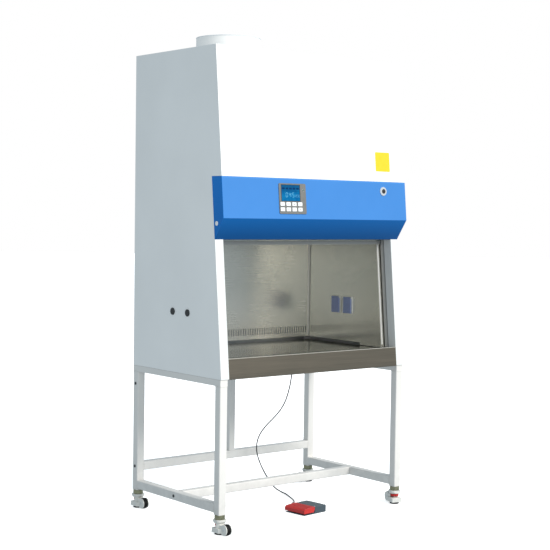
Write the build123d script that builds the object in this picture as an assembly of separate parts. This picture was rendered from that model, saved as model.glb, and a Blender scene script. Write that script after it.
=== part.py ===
from build123d import *
import math
import os

# Class II biosafety cabinet on a tubular stand with levelling casters.
# Millimetres, +Z up, front towards -Y. The origin is on the floor, at the centre of the bounding box.

# ---------------------------------------------------------------- driving dimensions
WIDTH = 1100.0            # outer width of the casing
HALF = WIDTH / 2
REAR_Y = 369.5            # outer face of the rear panel
CREASE_Y = -330.5         # front edge of the control fascia, its most forward line
CREASE_Z = 1380.0
SLOPE = 0.0945            # lean of the front, mm back per mm up
TOP_Z = 2132.0            # top of the casing
BODY_Z = 679.0            # underside of the casing
FASCIA_TOP_Z = 1562.0
FASCIA_BOTTOM_Z = 1287.0
FASCIA_BOTTOM_Y = -267.6
PILLAR_SETBACK = 70.0     # pillars lie behind the plane of the front cover
PILLAR_WIDTH = 45.0
SHEET = 1.5
CHAMBER_HALF = 470.0      # work chamber, 940 mm wide
CHAMBER_BACK_Y = 292.5
CEILING_Z = 1420.0
WORK_Z = 759.0            # top of the work surface
SILL_TOP_Z = 768.0
SASH_GAP = 55.0           # glass front face behind the pillar plane
GLASS = 6.0
SASH_LOW_Z = 1262.0       # lower edge of the raised sash
SASH_HIGH_Z = 1850.0
COLLAR_X, COLLAR_Y, COLLAR_R, COLLAR_H = -240.0, 64.5, 150.0, 80.0
TUBE = 40.0               # stand tube, square
WALL = 2.0
TOP_RAIL_Z = 649.0
LEG_FOOT_Z = 88.0
SIDE_RAIL_Z = 92.0        # underside of the lower side rails
LEG_X = HALF - TUBE / 2
FRONT_LEG_Y = -302.5
REAR_LEG_Y = REAR_Y - TUBE / 2
WHEEL_R, WHEEL_W, WHEEL_OFFSET, WHEEL_Z = 25.0, 20.0, 48.0, 26.5
CORD_R = 3.0

ANG = math.atan(SLOPE)
CA, SA = math.cos(ANG), math.sin(ANG)


def yf(z):
    """Plane of the front cover."""
    return CREASE_Y + (z - CREASE_Z) * SLOPE


def yp(z):
    """Plane of the front pillars."""
    return yf(z) + PILLAR_SETBACK


def bx(x0, x1, y0, y1, z0, z1):
    return Pos((x0 + x1) / 2, (y0 + y1) / 2, (z0 + z1) / 2) * Box(x1 - x0, y1 - y0, z1 - z0)


def prism(points, x0, x1):
    """Polygon of (y, z) points carried along X."""
    plane = Plane(origin=(x0, 0, 0), x_dir=(0, 1, 0), z_dir=(1, 0, 0))
    return extrude(plane * Polygon(*points, align=None), amount=x1 - x0, dir=(1, 0, 0))


def leaning(z0, z1, o0, o1, x0, x1):
    """Slab parallel to the front, between two setbacks behind the pillar plane."""
    return prism([(yp(z0) + o0, z0), (yp(z0) + o1, z0), (yp(z1) + o1, z1), (yp(z1) + o0, z1)], x0, x1)


LOW = (Align.CENTER, Align.CENTER, Align.MIN)


def cz(x, y, z0, z1, r):
    return Pos(x, y, z0) * Cylinder(r, z1 - z0, align=LOW)


def cx(x0, x1, y, z, r):
    return Plane(origin=(x0, y, z), x_dir=(0, 1, 0), z_dir=(1, 0, 0)) * Cylinder(r, x1 - x0, align=LOW)


def cy(y0, y1, x, z, r):
    return Plane(origin=(x, y0, z), x_dir=(1, 0, 0), z_dir=(0, 1, 0)) * Cylinder(r, y1 - y0, align=LOW)


def face_plane(x, z):
    """Frame on the front plane: local x along +X, local y up the slope, local z outwards."""
    return Plane(origin=(x, yf(z), z), x_dir=(1, 0, 0), z_dir=(0, -CA, SA))


def mirror_x(shape):
    return mirror(shape, about=Plane.YZ)


os.makedirs("parts", exist_ok=True)


def write(name, *shapes):
    solids = []
    for shape in shapes:
        solids += list(shape.solids())
    export_step(solids[0] if len(solids) == 1 else Compound(children=solids), f"parts/{name}.step")


# ---------------------------------------------------------------- stand
def tube_z(x, y, z0, z1, a=TUBE, b=TUBE):
    return bx(x - a / 2, x + a / 2, y - b / 2, y + b / 2, z0, z1) - bx(
        x - a / 2 + WALL, x + a / 2 - WALL, y - b / 2 + WALL, y + b / 2 - WALL, z0 - 1, z1 + 1)


def tube_y(x0, x1, y0, y1, z0, z1):
    return bx(x0, x1, y0, y1, z0, z1) - bx(x0 + WALL, x1 - WALL, y0 - 1, y1 + 1, z0 + WALL, z1 - WALL)


def tube_x(x0, x1, y0, y1, z0, z1):
    return bx(x0, x1, y0, y1, z0, z1) - bx(x0 - 1, x1 + 1, y0 + WALL, y1 - WALL, z0 + WALL, z1 - WALL)


STEM_R = 8.0
frames = []
for side in (-1, 1):
    lx = side * LEG_X
    x0, x1 = lx - TUBE / 2, lx + TUBE / 2
    for ly in (FRONT_LEG_Y, REAR_LEG_Y):
        frames.append(tube_z(lx, ly, LEG_FOOT_Z, TOP_RAIL_Z))
        # foot plate and threaded sleeve that take the caster stem
        plate = bx(x0, x1, ly - TUBE / 2, ly + TUBE / 2, LEG_FOOT_Z - 4, LEG_FOOT_Z) + cz(lx, ly, 66, LEG_FOOT_Z - 4, 23.5)
        frames.append(plate - cz(lx, ly, 60, LEG_FOOT_Z - 2, STEM_R + 0.1))
    # the upper rail is closed at the front by a welded cap
    frames.append(bx(x0, x1, FRONT_LEG_Y - TUBE / 2, REAR_Y, TOP_RAIL_Z, BODY_Z)
                  - bx(x0 + WALL, x1 - WALL, FRONT_LEG_Y - TUBE / 2 + WALL, REAR_Y + 1, TOP_RAIL_Z + WALL, BODY_Z - WALL))
    frames.append(tube_y(x0, x1, FRONT_LEG_Y + TUBE / 2, REAR_LEG_Y - TUBE / 2, SIDE_RAIL_Z, SIDE_RAIL_Z + TUBE))
write("stand_side_frames", *frames)

INNER = LEG_X - TUBE / 2
cross = [
    tube_x(-INNER, INNER, REAR_LEG_Y - 20, REAR_LEG_Y + 20, TOP_RAIL_Z, BODY_Z),
    tube_x(-INNER, INNER, REAR_LEG_Y - 20, REAR_LEG_Y + 20, 178, 218),
    tube_z(12, REAR_LEG_Y, 218, TOP_RAIL_Z, 36, TUBE),
    tube_x(-INNER, INNER, 5, 45, SIDE_RAIL_Z, SIDE_RAIL_Z + TUBE),
]
write("stand_cross_rails", *cross)

# ---------------------------------------------------------------- blanking plugs in the stand and the left wall
plugs = []
for side in (-1, 1):
    for py, pz in ((REAR_LEG_Y, 592), (REAR_LEG_Y, 198), (25, 112)):
        plugs.append(cx(HALF, HALF + 1.5, py, pz, 7) if side > 0 else cx(-HALF - 1.5, -HALF, py, pz, 7))
PORTS = ((46.5, 954.0), (-69.5, 954.0))
for py, pz in PORTS:
    plugs.append(cx(-HALF - 3, -HALF, py, pz, 16) + cx(-HALF, -HALF + 8, py, pz, 12.5))
write("blanking_plugs", *plugs)


# ---------------------------------------------------------------- levelling casters
def frustum(z0, z1, r0, r1):
    return Pos(0, 0, (z0 + z1) / 2) * Cone(r0, r1, z1 - z0)


def caster(name, x, y, turn):
    place = Pos(x, y, 0) * Rot(0, 0, turn)
    # a wide base over the pad, a waist and a flared cap, all cut flat on three sides
    body = cz(0, 0, 9, 27, 35) + frustum(27, 29, 35, 33) + cz(0, 0, 28, 50, 23.5)
    body = body + frustum(48, 57, 23.5, 30) + cz(0, 0, 57, 64, 30) + frustum(64, 65.5, 30, 28.5)
    body = body & bx(-26, 26, -50, 26, 0, 70)
    # two cheeks that carry the axle and leave the tread free
    cheeks = (cx(-15.5, 15.5, -WHEEL_OFFSET, WHEEL_Z, 23.5) & bx(-20, 20, -80, 0, 4, 60)) + bx(-15.5, 15.5, -WHEEL_OFFSET, -12, 12, 44)
    body = body + cheeks + cz(0, 0, 65, 83, STEM_R)
    body = body - cx(-WHEEL_W / 2 - 1.5, WHEEL_W / 2 + 1.5, -WHEEL_OFFSET, WHEEL_Z, WHEEL_R + 1.2)
    body = body + cx(-14, 14, -WHEEL_OFFSET, WHEEL_Z, 4)
    # recess for the pad, bore for its screw, and the hollow of the dial with its window
    body = body - cz(0, 0, 8, 17.5, 23.7) - cz(0, 0, 17, 32, 6.1) - cz(0, 0, 31, 59.5, 21.2)
    body = body - bx(-40, 40, -3, 40, 31, 51)
    write(f"caster_{name}_housing", place * body)
    wheel = cx(-WHEEL_W / 2, WHEEL_W / 2, -WHEEL_OFFSET, WHEEL_Z, WHEEL_R)
    wheel = fillet(wheel.edges(), 3.0)
    wheel = wheel - cx(-20, 20, -WHEEL_OFFSET, WHEEL_Z, 4.1)
    write(f"caster_{name}_wheel", place * wheel)
    foot = cz(0, 0, 0, 4, 22.5) + frustum(4, 8, 22.5, 20) + cz(0, 0, 7.5, 51, 6)
    dial = cz(0, 0, 37, 49.5, 20.6)
    notches = [Rot(0, 0, 20 * i) * cz(21.8, 0, 36, 51, 2.2) for i in range(18)]
    dial = dial - notches
    write(f"caster_{name}_leveller", place * (foot + dial))


caster("front_left", -LEG_X, FRONT_LEG_Y, 0)
caster("front_right", LEG_X, FRONT_LEG_Y, 165)
caster("rear_left", -LEG_X, REAR_LEG_Y, 0)
caster("rear_right", LEG_X, REAR_LEG_Y, -90)

# ---------------------------------------------------------------- outer casing
side = prism([
    (REAR_Y, BODY_Z), (REAR_Y, TOP_Z), (yf(TOP_Z) + 2, TOP_Z), (yf(FASCIA_TOP_Z) + 2, FASCIA_TOP_Z),
    (yf(FASCIA_TOP_Z) + 72, FASCIA_TOP_Z), (yf(FASCIA_BOTTOM_Z) + 72, FASCIA_BOTTOM_Z), (yp(BODY_Z) + 2, BODY_Z)],
    HALF - SHEET, HALF)
left_side = mirror_x(side)
for py, pz in PORTS:
    left_side = left_side - cx(-HALF - 5, -HALF + 5, py, pz, 12.6)
write("side_panels", left_side, side)

rear = bx(-HALF + SHEET, HALF - SHEET, REAR_Y - SHEET, REAR_Y, BODY_Z, TOP_Z - SHEET)
INLET_X, INLET_Z = 400.0, 760.0
rear = rear - bx(INLET_X - 24.2, INLET_X + 24.2, REAR_Y - 5, REAR_Y + 5, INLET_Z - 14.2, INLET_Z + 14.2)
write("rear_panel", rear)

inlet = bx(INLET_X - 24, INLET_X + 24, REAR_Y - 32, REAR_Y, INLET_Z - 14, INLET_Z + 14)
inlet = inlet - bx(INLET_X - 20, INLET_X + 20, REAR_Y - 24, REAR_Y + 5, INLET_Z - 10, INLET_Z + 10)
write("power_inlet", inlet)

top = prism([(REAR_Y, TOP_Z - SHEET), (REAR_Y, TOP_Z), (yf(TOP_Z) + 2, TOP_Z), (yf(TOP_Z) + 2, TOP_Z - SHEET)],
            -HALF + SHEET, HALF - SHEET)
top = top - cz(COLLAR_X, COLLAR_Y, TOP_Z - 5, TOP_Z + 5, COLLAR_R - 1.5)
write("top_panel", top)

collar = (cz(COLLAR_X, COLLAR_Y, TOP_Z, TOP_Z + COLLAR_H, COLLAR_R)
          + cz(COLLAR_X, COLLAR_Y, TOP_Z, TOP_Z + 2, COLLAR_R + 16))
collar = collar - cz(COLLAR_X, COLLAR_Y, TOP_Z - 1, TOP_Z + COLLAR_H + 1, COLLAR_R - 1.5)
write("exhaust_collar", collar)

cover = prism([(yf(TOP_Z), TOP_Z), (yf(FASCIA_TOP_Z), FASCIA_TOP_Z), (yf(FASCIA_TOP_Z) + 1.8, FASCIA_TOP_Z),
               (yf(TOP_Z) + 1.8, TOP_Z)], -HALF, HALF)
cover = cover + prism([(yf(1563) + 1, FASCIA_TOP_Z), (yf(1563) + 24, FASCIA_TOP_Z), (yf(1563) + 24, FASCIA_TOP_Z + 1.8),
                       (yf(1563) + 1, FASCIA_TOP_Z + 1.8)], -HALF + 4, HALF - 4)
cover = cover + prism([(yf(2126) + 1, 2125), (yf(2126) + 24, 2125), (yf(2126) + 24, 2126.8), (yf(2126) + 1, 2126.8)],
                      -HALF + 4, HALF - 4)
write("front_cover", cover)

pillar = leaning(BODY_Z, FASCIA_BOTTOM_Z, 0, 1.8, HALF - PILLAR_WIDTH, HALF)
pillar = pillar + leaning(BODY_Z + 2, FASCIA_BOTTOM_Z, 1, 49, HALF - PILLAR_WIDTH, HALF - PILLAR_WIDTH + SHEET)
write("front_pillars", mirror_x(pillar), pillar)

# ---------------------------------------------------------------- control fascia, a hollow moulding open at the back
A = (yf(FASCIA_TOP_Z), FASCIA_TOP_Z - 0.3)
B = (CREASE_Y, CREASE_Z)
C = (FASCIA_BOTTOM_Y, FASCIA_BOTTOM_Z)
E = (yf(FASCIA_TOP_Z) + 71.8, FASCIA_TOP_Z - 0.3)
fascia = prism([A, B, C, E], -HALF, HALF)
T = 3.0
hollow = prism([(A[0] + T, A[1] - T), (B[0] + T, B[1] + 1.2), (C[0] + 60, C[1] - 70), (C[0] + 200, C[1] - 70),
                (E[0] + 200, E[1] - T)], -HALF + T, HALF - T)
# the lower face keeps its thickness
lower = prism([(B[0], B[1]), (C[0], C[1]), (C[0] + 2.0, C[1] + T), (B[0] + T, B[1] + 2.0)],
              -HALF + T - 0.5, HALF - T + 0.5)
fascia = (fascia - hollow) + lower
fascia = fascia + bx(-500, 500, C[0] - 0.5, -226, FASCIA_BOTTOM_Z, FASCIA_BOTTOM_Z + 2)
PLATE_X, PLATE_Z = -160.0, 1470.5
panel = face_plane(PLATE_X, PLATE_Z)
KEY_X, KEY_Z = 403.0, 1516.0
lock = face_plane(KEY_X, KEY_Z)
fascia = fascia - panel * Box(152.5, 125, 20)
fascia = fascia - lock * Cylinder(14.2, 20)
write("control_fascia", fascia)

# control plate with its window and key openings
PLATE_W, PLATE_H, PLATE_T = 156.0, 137.0, 3.0
plate = extrude(RectangleRounded(PLATE_W, PLATE_H, 6), PLATE_T)
plate = plate - Pos(-11, 25.5, 0) * Box(106.4, 72.4, 20)
COLUMNS = (-61.0, -27.0, 7.0, 41.0)
ROWS = (-24.5, -48.5)
KEY_W, KEY_H = 25.0, 17.5
keys = []
for row in ROWS:
    for column in COLUMNS:
        plate = plate - Pos(column, row, -5) * extrude(RectangleRounded(KEY_W + 0.8, KEY_H + 0.8, 4), 20)
        cap = Pos(column, row, 0.6) * extrude(RectangleRounded(KEY_W, KEY_H, 3.6), PLATE_T + 1.2)
        cap = chamfer(cap.faces().sort_by(Axis.Z)[-1].edges(), 0.6)
        foot = Pos(column, row, -1.0) * Box(KEY_W + 4, KEY_H + 4, 1.2)
        keys.append(panel * (cap + Pos(column, row, 0) * Box(16, 10, 2.0) + foot))
plate = plate - Pos(62, 40, 0) * Cylinder(3.6, 20)
plate = plate + Pos(62, 40, 0) * Cylinder(3.6, PLATE_T + 2, align=LOW)
write("control_plate", panel * plate)
for number, key in enumerate(keys, 1):
    write(f"key_{number}", key)
window = Pos(-11, 25.5, 0.5) * extrude(RectangleRounded(106, 72, 1.5), 2.0)
write("display_window", panel * window)

bezel = Cylinder(21, 5, align=LOW)
bezel = chamfer(bezel.faces().sort_by(Axis.Z)[-1].edges(), 2.0)
bezel = bezel + Pos(0, 0, -30) * Cylinder(14, 32, align=LOW)
bezel = bezel - Pos(0, 0, -40) * Cylinder(11, 60, align=LOW)
write("key_switch_bezel", lock * bezel)
core = Pos(0, 0, -30) * Cylinder(10.9, 36, align=LOW)
core = core - Pos(0, 0, 6) * Box(2.2, 11, 12)
write("key_switch_plug", lock * core)

# ---------------------------------------------------------------- work chamber
slots = [bx(-3 + 15 * i, 3 + 15 * i, CHAMBER_BACK_Y - 5, CHAMBER_BACK_Y + 8, 794, 828) for i in range(-30, 31)]
back_wall = bx(-CHAMBER_HALF - 1.2, CHAMBER_HALF + 1.2, CHAMBER_BACK_Y, CHAMBER_BACK_Y + 1.2, 774, CEILING_Z)
back_wall = back_wall - slots


def side_wall():
    x0 = CHAMBER_HALF
    wall = prism([(CHAMBER_BACK_Y, 774), (CHAMBER_BACK_Y, CEILING_Z), (yp(CEILING_Z) + 68, CEILING_Z),
                  (yp(762) + 68, 762), (-100, 762), (-100, 774)], x0, x0 + 1.2)
    return wall + leaning(762, CEILING_Z, 66.8, 68, x0, x0 + 34)


right_wall = side_wall()
SOCKETS = ((74.5, "rear"), (-13.0, "front"))
for sy, _ in SOCKETS:
    right_wall = right_wall - bx(465, 480, sy - 26, sy + 26, 920, 980)
ceiling = bx(-CHAMBER_HALF, CHAMBER_HALF, yp(CEILING_Z) + 68, -140.2, CEILING_Z - 1.2, CEILING_Z)
write("chamber_liner", back_wall, mirror_x(side_wall()), right_wall, ceiling)

diffuser = bx(-CHAMBER_HALF + 1, CHAMBER_HALF - 1, -140, CHAMBER_BACK_Y - 0.5, CEILING_Z, CEILING_Z + 1.5)
diffuser = diffuser - [bx(-448 + 37.5 * i, -424 + 37.5 * i, -122 + 26 * j, -114 + 26 * j, CEILING_Z - 5, CEILING_Z + 5)
                       for i in range(24) for j in range(16)]
write("diffuser_grille", diffuser)

# lift-out work tray and front air intake grille
TRAY_Y0, TRAY_Y1 = -206.0, 288.0
tray = bx(-466, 466, TRAY_Y0, TRAY_Y1, WORK_Z - 22, WORK_Z) - bx(-464.5, 464.5, TRAY_Y0 + 1.5, TRAY_Y1 - 1.5, WORK_Z - 30, WORK_Z - 1.5)
write("work_tray", tray)
GRILLE_Y0, GRILLE_Y1 = yp(SILL_TOP_Z) + 14, -208.5
grille = bx(-466, 466, GRILLE_Y0, GRILLE_Y1, WORK_Z - 12, WORK_Z) - bx(-464.5, 464.5, GRILLE_Y0 + 1.5, GRILLE_Y1 - 1.5, WORK_Z - 30, WORK_Z - 1.5)
grille = grille - [bx(-450 + 14.5 * i, -444 + 14.5 * i, GRILLE_Y0 + 10 + 28 * j, GRILLE_Y0 + 32 + 28 * j, WORK_Z - 5, WORK_Z + 5)
                   for i in range(63) for j in range(3)]
write("front_grille", grille)

# front sill: leaning apron with a top and a bottom return
SX = HALF - PILLAR_WIDTH - 0.5
sill = leaning(BODY_Z - 2, SILL_TOP_Z, 0, 1.5, -SX, SX)
sill = sill + prism([(yp(SILL_TOP_Z), SILL_TOP_Z), (yp(SILL_TOP_Z) + 12, SILL_TOP_Z), (yp(SILL_TOP_Z) + 12, SILL_TOP_Z - 1.5),
                     (yp(SILL_TOP_Z), SILL_TOP_Z - 1.5)], -SX, SX)
sill = sill + bx(-SX, SX, yp(SILL_TOP_Z) + 10.5, yp(SILL_TOP_Z) + 12, WORK_Z - 12, SILL_TOP_Z)
sill = sill + bx(-SX, SX, yp(BODY_Z - 2), yp(BODY_Z - 2) + 20, BODY_Z - 2, BODY_Z - 0.5)
write("front_sill", sill)

# drain pan: underside of the casing, with the ledges that carry the tray and the grille
PAN_Y0 = yp(BODY_Z) + 22
pan = bx(-HALF + SHEET, HALF - SHEET, PAN_Y0, REAR_Y - SHEET, BODY_Z, BODY_Z + SHEET)
for s in (-1, 1):
    a, b = sorted((s * 472, s * 473.5))
    pan = pan + bx(a, b, PAN_Y0, CHAMBER_BACK_Y + 6, BODY_Z, WORK_Z - 1.5)
    a, b = sorted((s * 450, s * 473.5))
    pan = pan + bx(a, b, TRAY_Y0 + 4, TRAY_Y1 - 4, WORK_Z - 24, WORK_Z - 22)
    pan = pan + bx(a, b, GRILLE_Y0 + 2, GRILLE_Y1 - 3, WORK_Z - 14, WORK_Z - 12)
pan = pan + bx(-472.5, 472.5, CHAMBER_BACK_Y + 4.5, CHAMBER_BACK_Y + 6, BODY_Z, WORK_Z - 24)
GLAND_X, GLAND_Y = 338.0, 259.5
pan = pan - cz(GLAND_X, GLAND_Y, BODY_Z - 5, BODY_Z + 5, 8)
write("drain_pan", pan)

# ---------------------------------------------------------------- air system
PLENUM_TOP = 1700.0
plenum = bx(-CHAMBER_HALF, CHAMBER_HALF, -140, CHAMBER_BACK_Y, CEILING_Z + 1.5, PLENUM_TOP) - bx(
    -CHAMBER_HALF + 1.5, CHAMBER_HALF - 1.5, -138.5, CHAMBER_BACK_Y - 1.5, CEILING_Z, PLENUM_TOP - 1.5)
riser_out = bx(COLLAR_X - 195, COLLAR_X + 195, -130, 260, PLENUM_TOP - 1.5, 2040)
riser_in = bx(COLLAR_X - 193.5, COLLAR_X + 193.5, -128.5, 258.5, PLENUM_TOP - 5, 2050)
plenum = (plenum + riser_out) - riser_in
BLOWER_X, BLOWER_Y, BLOWER_Z = 200.0, 95.0, 1880.0
plenum = plenum - bx(BLOWER_X - 98, BLOWER_X + 98, -30, 60, PLENUM_TOP - 5, PLENUM_TOP + 5)
# sheet behind the chamber that closes the return air duct, with a foot that meets the rear of the drain pan
DUCT_Y = 332.0
duct = bx(-472, 472, DUCT_Y, DUCT_Y + 1.2, WORK_Z - 24, PLENUM_TOP) + bx(
    -472, 472, CHAMBER_BACK_Y + 6.1, DUCT_Y + 1.2, WORK_Z - 24, WORK_Z - 22.8)
write("plenum_box", plenum, duct)

supply = bx(-460, 460, -134, 286, CEILING_Z + 4, CEILING_Z + 74)
exhaust = bx(COLLAR_X - 190, COLLAR_X + 190, -126, 256, 2042, 2126)
write("hepa_filters", supply, exhaust)

scroll = cx(BLOWER_X - 110, BLOWER_X + 110, BLOWER_Y, BLOWER_Z, 150) + bx(
    BLOWER_X - 110, BLOWER_X + 110, BLOWER_Y - 150, BLOWER_Y - 20, PLENUM_TOP, BLOWER_Z)
scroll = scroll - cx(BLOWER_X - 108, BLOWER_X + 108, BLOWER_Y, BLOWER_Z, 148) - bx(
    BLOWER_X - 108, BLOWER_X + 108, BLOWER_Y - 148, BLOWER_Y - 22, PLENUM_TOP - 5, BLOWER_Z)
scroll = scroll - cx(BLOWER_X - 120, BLOWER_X + 120, BLOWER_Y, BLOWER_Z, 82)
motor = cx(BLOWER_X + 20, BLOWER_X + 150, BLOWER_Y, BLOWER_Z, 58)
motor = motor - cx(BLOWER_X, BLOWER_X + 140, BLOWER_Y, BLOWER_Z, 8.08)
arms = bx(BLOWER_X + 110, BLOWER_X + 113, BLOWER_Y - 110, BLOWER_Y + 110, BLOWER_Z - 14, BLOWER_Z + 14) - cx(
    BLOWER_X, BLOWER_X + 200, BLOWER_Y, BLOWER_Z, 57)
write("blower_housing", scroll, motor + arms)

impeller = cx(BLOWER_X - 3, BLOWER_X + 3, BLOWER_Y, BLOWER_Z, 118) + cx(BLOWER_X - 20, BLOWER_X + 15, BLOWER_Y, BLOWER_Z, 20)
for x0 in (BLOWER_X - 95, BLOWER_X + 92):
    impeller = impeller + (cx(x0, x0 + 3, BLOWER_Y, BLOWER_Z, 120) - cx(x0 - 5, x0 + 8, BLOWER_Y, BLOWER_Z, 92))
blade = bx(BLOWER_X - 94, BLOWER_X + 94, BLOWER_Y + 94, BLOWER_Y + 118, BLOWER_Z - 1.2, BLOWER_Z + 1.2)
hub = Axis((BLOWER_X, BLOWER_Y, BLOWER_Z), (1, 0, 0))
impeller = impeller + [blade.rotate(hub, 360 / 24 * i) for i in range(24)]
impeller = impeller + cx(BLOWER_X, BLOWER_X + 135, BLOWER_Y, BLOWER_Z, 8.0)
write("blower_impeller", impeller)

# ---------------------------------------------------------------- lamps
UV_Y, UV_Z = 257.0, 1384.0
tube = cx(-440, 440, UV_Y, UV_Z, 13)
holders = []
for s in (-1, 1):
    a, b = sorted((s * 440, s * 456))
    holders.append(bx(a, b, UV_Y - 17, CHAMBER_BACK_Y, UV_Z - 17, UV_Z + 17))
write("uv_lamp", tube, *holders)
LED_Y0 = yp(1405) + 70
led = bx(-430, 430, LED_Y0, LED_Y0 + 36, 1400, CEILING_Z - 1.2)
write("led_lamp", led)

# ---------------------------------------------------------------- socket outlets on the right wall, with flip lids
outlets = []
LID_Z = 990.0
for sy, label in SOCKETS:
    outlet = bx(464, 470, sy - 32, sy + 32, 911, 995) + bx(470, 498, sy - 25, sy + 25, 921, 979)
    outlet = outlet - bx(460, 466.5, sy - 20, sy + 20, 930, 970)
    for ey in (-1, 1):
        y0, y1 = sorted((sy + ey * 27.5, sy + ey * 32))
        outlet = outlet + bx(457, 464, y0, y1, LID_Z - 4, LID_Z + 4)
    outlet = outlet - cy(sy - 31, sy + 31, 460.5, LID_Z, 1.6)
    outlets.append(outlet)
    lid = bx(457.5, 463.4, sy - 27, sy + 27, 913, LID_Z) + cy(sy - 27, sy + 27, 460.5, LID_Z, 3.0)
    lid = lid - bx(460, 464, sy - 24, sy + 24, 916, LID_Z - 6)
    lid = lid + cy(sy - 30.5, sy + 30.5, 460.5, LID_Z, 1.5)
    write(f"socket_cover_{label}", lid)
write("socket_outlets", *outlets)

# ---------------------------------------------------------------- sash, its guides and its belt drive
G0, G1 = SASH_GAP, SASH_GAP + GLASS
GUIDE_TOP = 1896.0
UP_Z, DOWN_Z, BELT_OFF, PULLEY_R, BELT_X = 1880.0, 1312.0, 30.0, 14.0, 455.0


def guide():
    rail = leaning(763, GUIDE_TOP, 50, 66.5, 486, 504.5)
    rail = rail - leaning(700, GUIDE_TOP + 20, 54, 62, 480, 498)
    for z in (UP_Z, DOWN_Z):
        y = yp(z) + BELT_OFF
        rail = rail + bx(474, 486.5, y - 15, yp(z - 15) + 53, z - 15, z + 15)
        rail = rail - cx(470, 484, y, z, 8.08)
    return rail


write("sash_guides", mirror_x(guide()), guide())
write("sash_glass", leaning(SASH_LOW_Z + 6, SASH_HIGH_Z - 6, G0, G1, -496, 496))
low_rail = leaning(SASH_LOW_Z, SASH_LOW_Z + 16, G0 - 3, G1 + 3, -483, 483) - leaning(
    SASH_LOW_Z + 6, SASH_LOW_Z + 40, G0, G1, -500, 500)
high_rail = leaning(SASH_HIGH_Z - 18, SASH_HIGH_Z, G0 - 3, G1 + 3, -483, 483) - leaning(
    SASH_HIGH_Z - 60, SASH_HIGH_Z - 6, G0, G1, -500, 500)
for s in (-1, 1):
    a, b = sorted((s * (BELT_X - 11), s * (BELT_X + 11)))
    clamp = leaning(SASH_HIGH_Z - 18, SASH_HIGH_Z, BELT_OFF + 11, G0 - 2, a, b)
    a, b = sorted((s * (BELT_X - 7.6), s * (BELT_X + 7.6)))
    clamp = clamp - leaning(SASH_HIGH_Z - 60, SASH_HIGH_Z + 60, BELT_OFF + 13.8, BELT_OFF + 16.6, a, b)
    high_rail = high_rail + clamp
write("sash_rails", low_rail, high_rail)


def roller(z, middle):
    y = yp(z) + BELT_OFF
    shaft = cx(-483, 483, y, z, 8.0)
    for s in (-1, 1):
        a, b = sorted((s * (BELT_X - 7.5), s * (BELT_X + 7.5)))
        shaft = shaft + cx(a, b, y, z, PULLEY_R)
    if middle:
        shaft = shaft + cx(-300, 300, y, z, 22)
    return shaft


write("sash_lift_shaft", roller(UP_Z, True))
write("sash_idler_shaft", roller(DOWN_Z, False))


def stadium(r, x0, x1):
    """Slot-shaped bar round both pulley axes."""
    yu, yd = yp(UP_Z) + BELT_OFF, yp(DOWN_Z) + BELT_OFF
    ny, nz = CA, -SA
    bar = prism([(yu + r * ny, UP_Z + r * nz), (yu - r * ny, UP_Z - r * nz), (yd - r * ny, DOWN_Z - r * nz),
                 (yd + r * ny, DOWN_Z + r * nz)], x0, x1)
    return bar + cx(x0, x1, yu, UP_Z, r) + cx(x0, x1, yd, DOWN_Z, r)


belts = []
for s in (-1, 1):
    a, b = sorted((s * (BELT_X - 7), s * (BELT_X + 7)))
    belts.append(stadium(PULLEY_R + 1.9, a, b) - stadium(PULLEY_R + 0.35, a - 5, b + 5))
write("sash_belts", *belts)

# ---------------------------------------------------------------- foot switch
SWITCH = Pos(56, -192.5, 0) * Rot(0, 0, 6)
base = bx(-70, 75, -60, 60, 0, 3.5)
block = Pos(36, 0, 3) * extrude(RectangleRounded(78, 128, 6), 31)
block = chamfer(block.faces().sort_by(Axis.Z)[-1].edges(), 3)
base = base + block
base = base + bx(-30, -4, -30, 30, 3, 16)                       # switch block under the pedal
for s in (-1, 1):
    a, b = sorted((s * 52, s * 57))
    base = base + bx(-16, -2, a, b, 3, 27)
HINGE_X, HINGE_Z = -9.0, 22.0
base = base - cy(-70, 70, HINGE_X, HINGE_Z, 3.1)
base = base + cy(60, 72, 24, 15, 7)                             # cable gland at the back
write("foot_switch_base", SWITCH * base)

def slab(points, y0, y1):
    """Polygon of (x, z) points carried along Y."""
    plane = Plane(origin=(0, y0, 0), x_dir=(1, 0, 0), z_dir=(0, -1, 0))
    return extrude(plane * Polygon(*points, align=None), amount=y1 - y0, dir=(0, 1, 0))


pedal = slab([(-75, 9.5), (-75, 24), (-66, 31), (-4.5, 34.5), (-4.5, 22), (-12, 9.5)], -64, 64)
pedal = pedal - slab([(-72, 0), (-72, 23), (-65, 28), (-8, 31.3), (20, 31.3), (20, 0)], -61, 61)
for s in (-1, 1):
    a, b = sorted((s * 44, s * 51))
    pedal = pedal + bx(HINGE_X - 5, HINGE_X + 4, a, b, HINGE_Z - 4, 32)
pedal = pedal + cy(-60, -50, HINGE_X, HINGE_Z, 3.0) + cy(50, 60, HINGE_X, HINGE_Z, 3.0)
write("foot_switch_pedal", SWITCH * pedal)

# ---------------------------------------------------------------- gland and cord of the foot switch
gland = cz(GLAND_X, GLAND_Y, BODY_Z - 10, BODY_Z, 11) + cz(GLAND_X, GLAND_Y, BODY_Z - 17, BODY_Z - 10, 7.5)
gland = gland + cz(GLAND_X, GLAND_Y, BODY_Z, BODY_Z + 8, 7.9)
write("cord_gland", gland)

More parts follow.
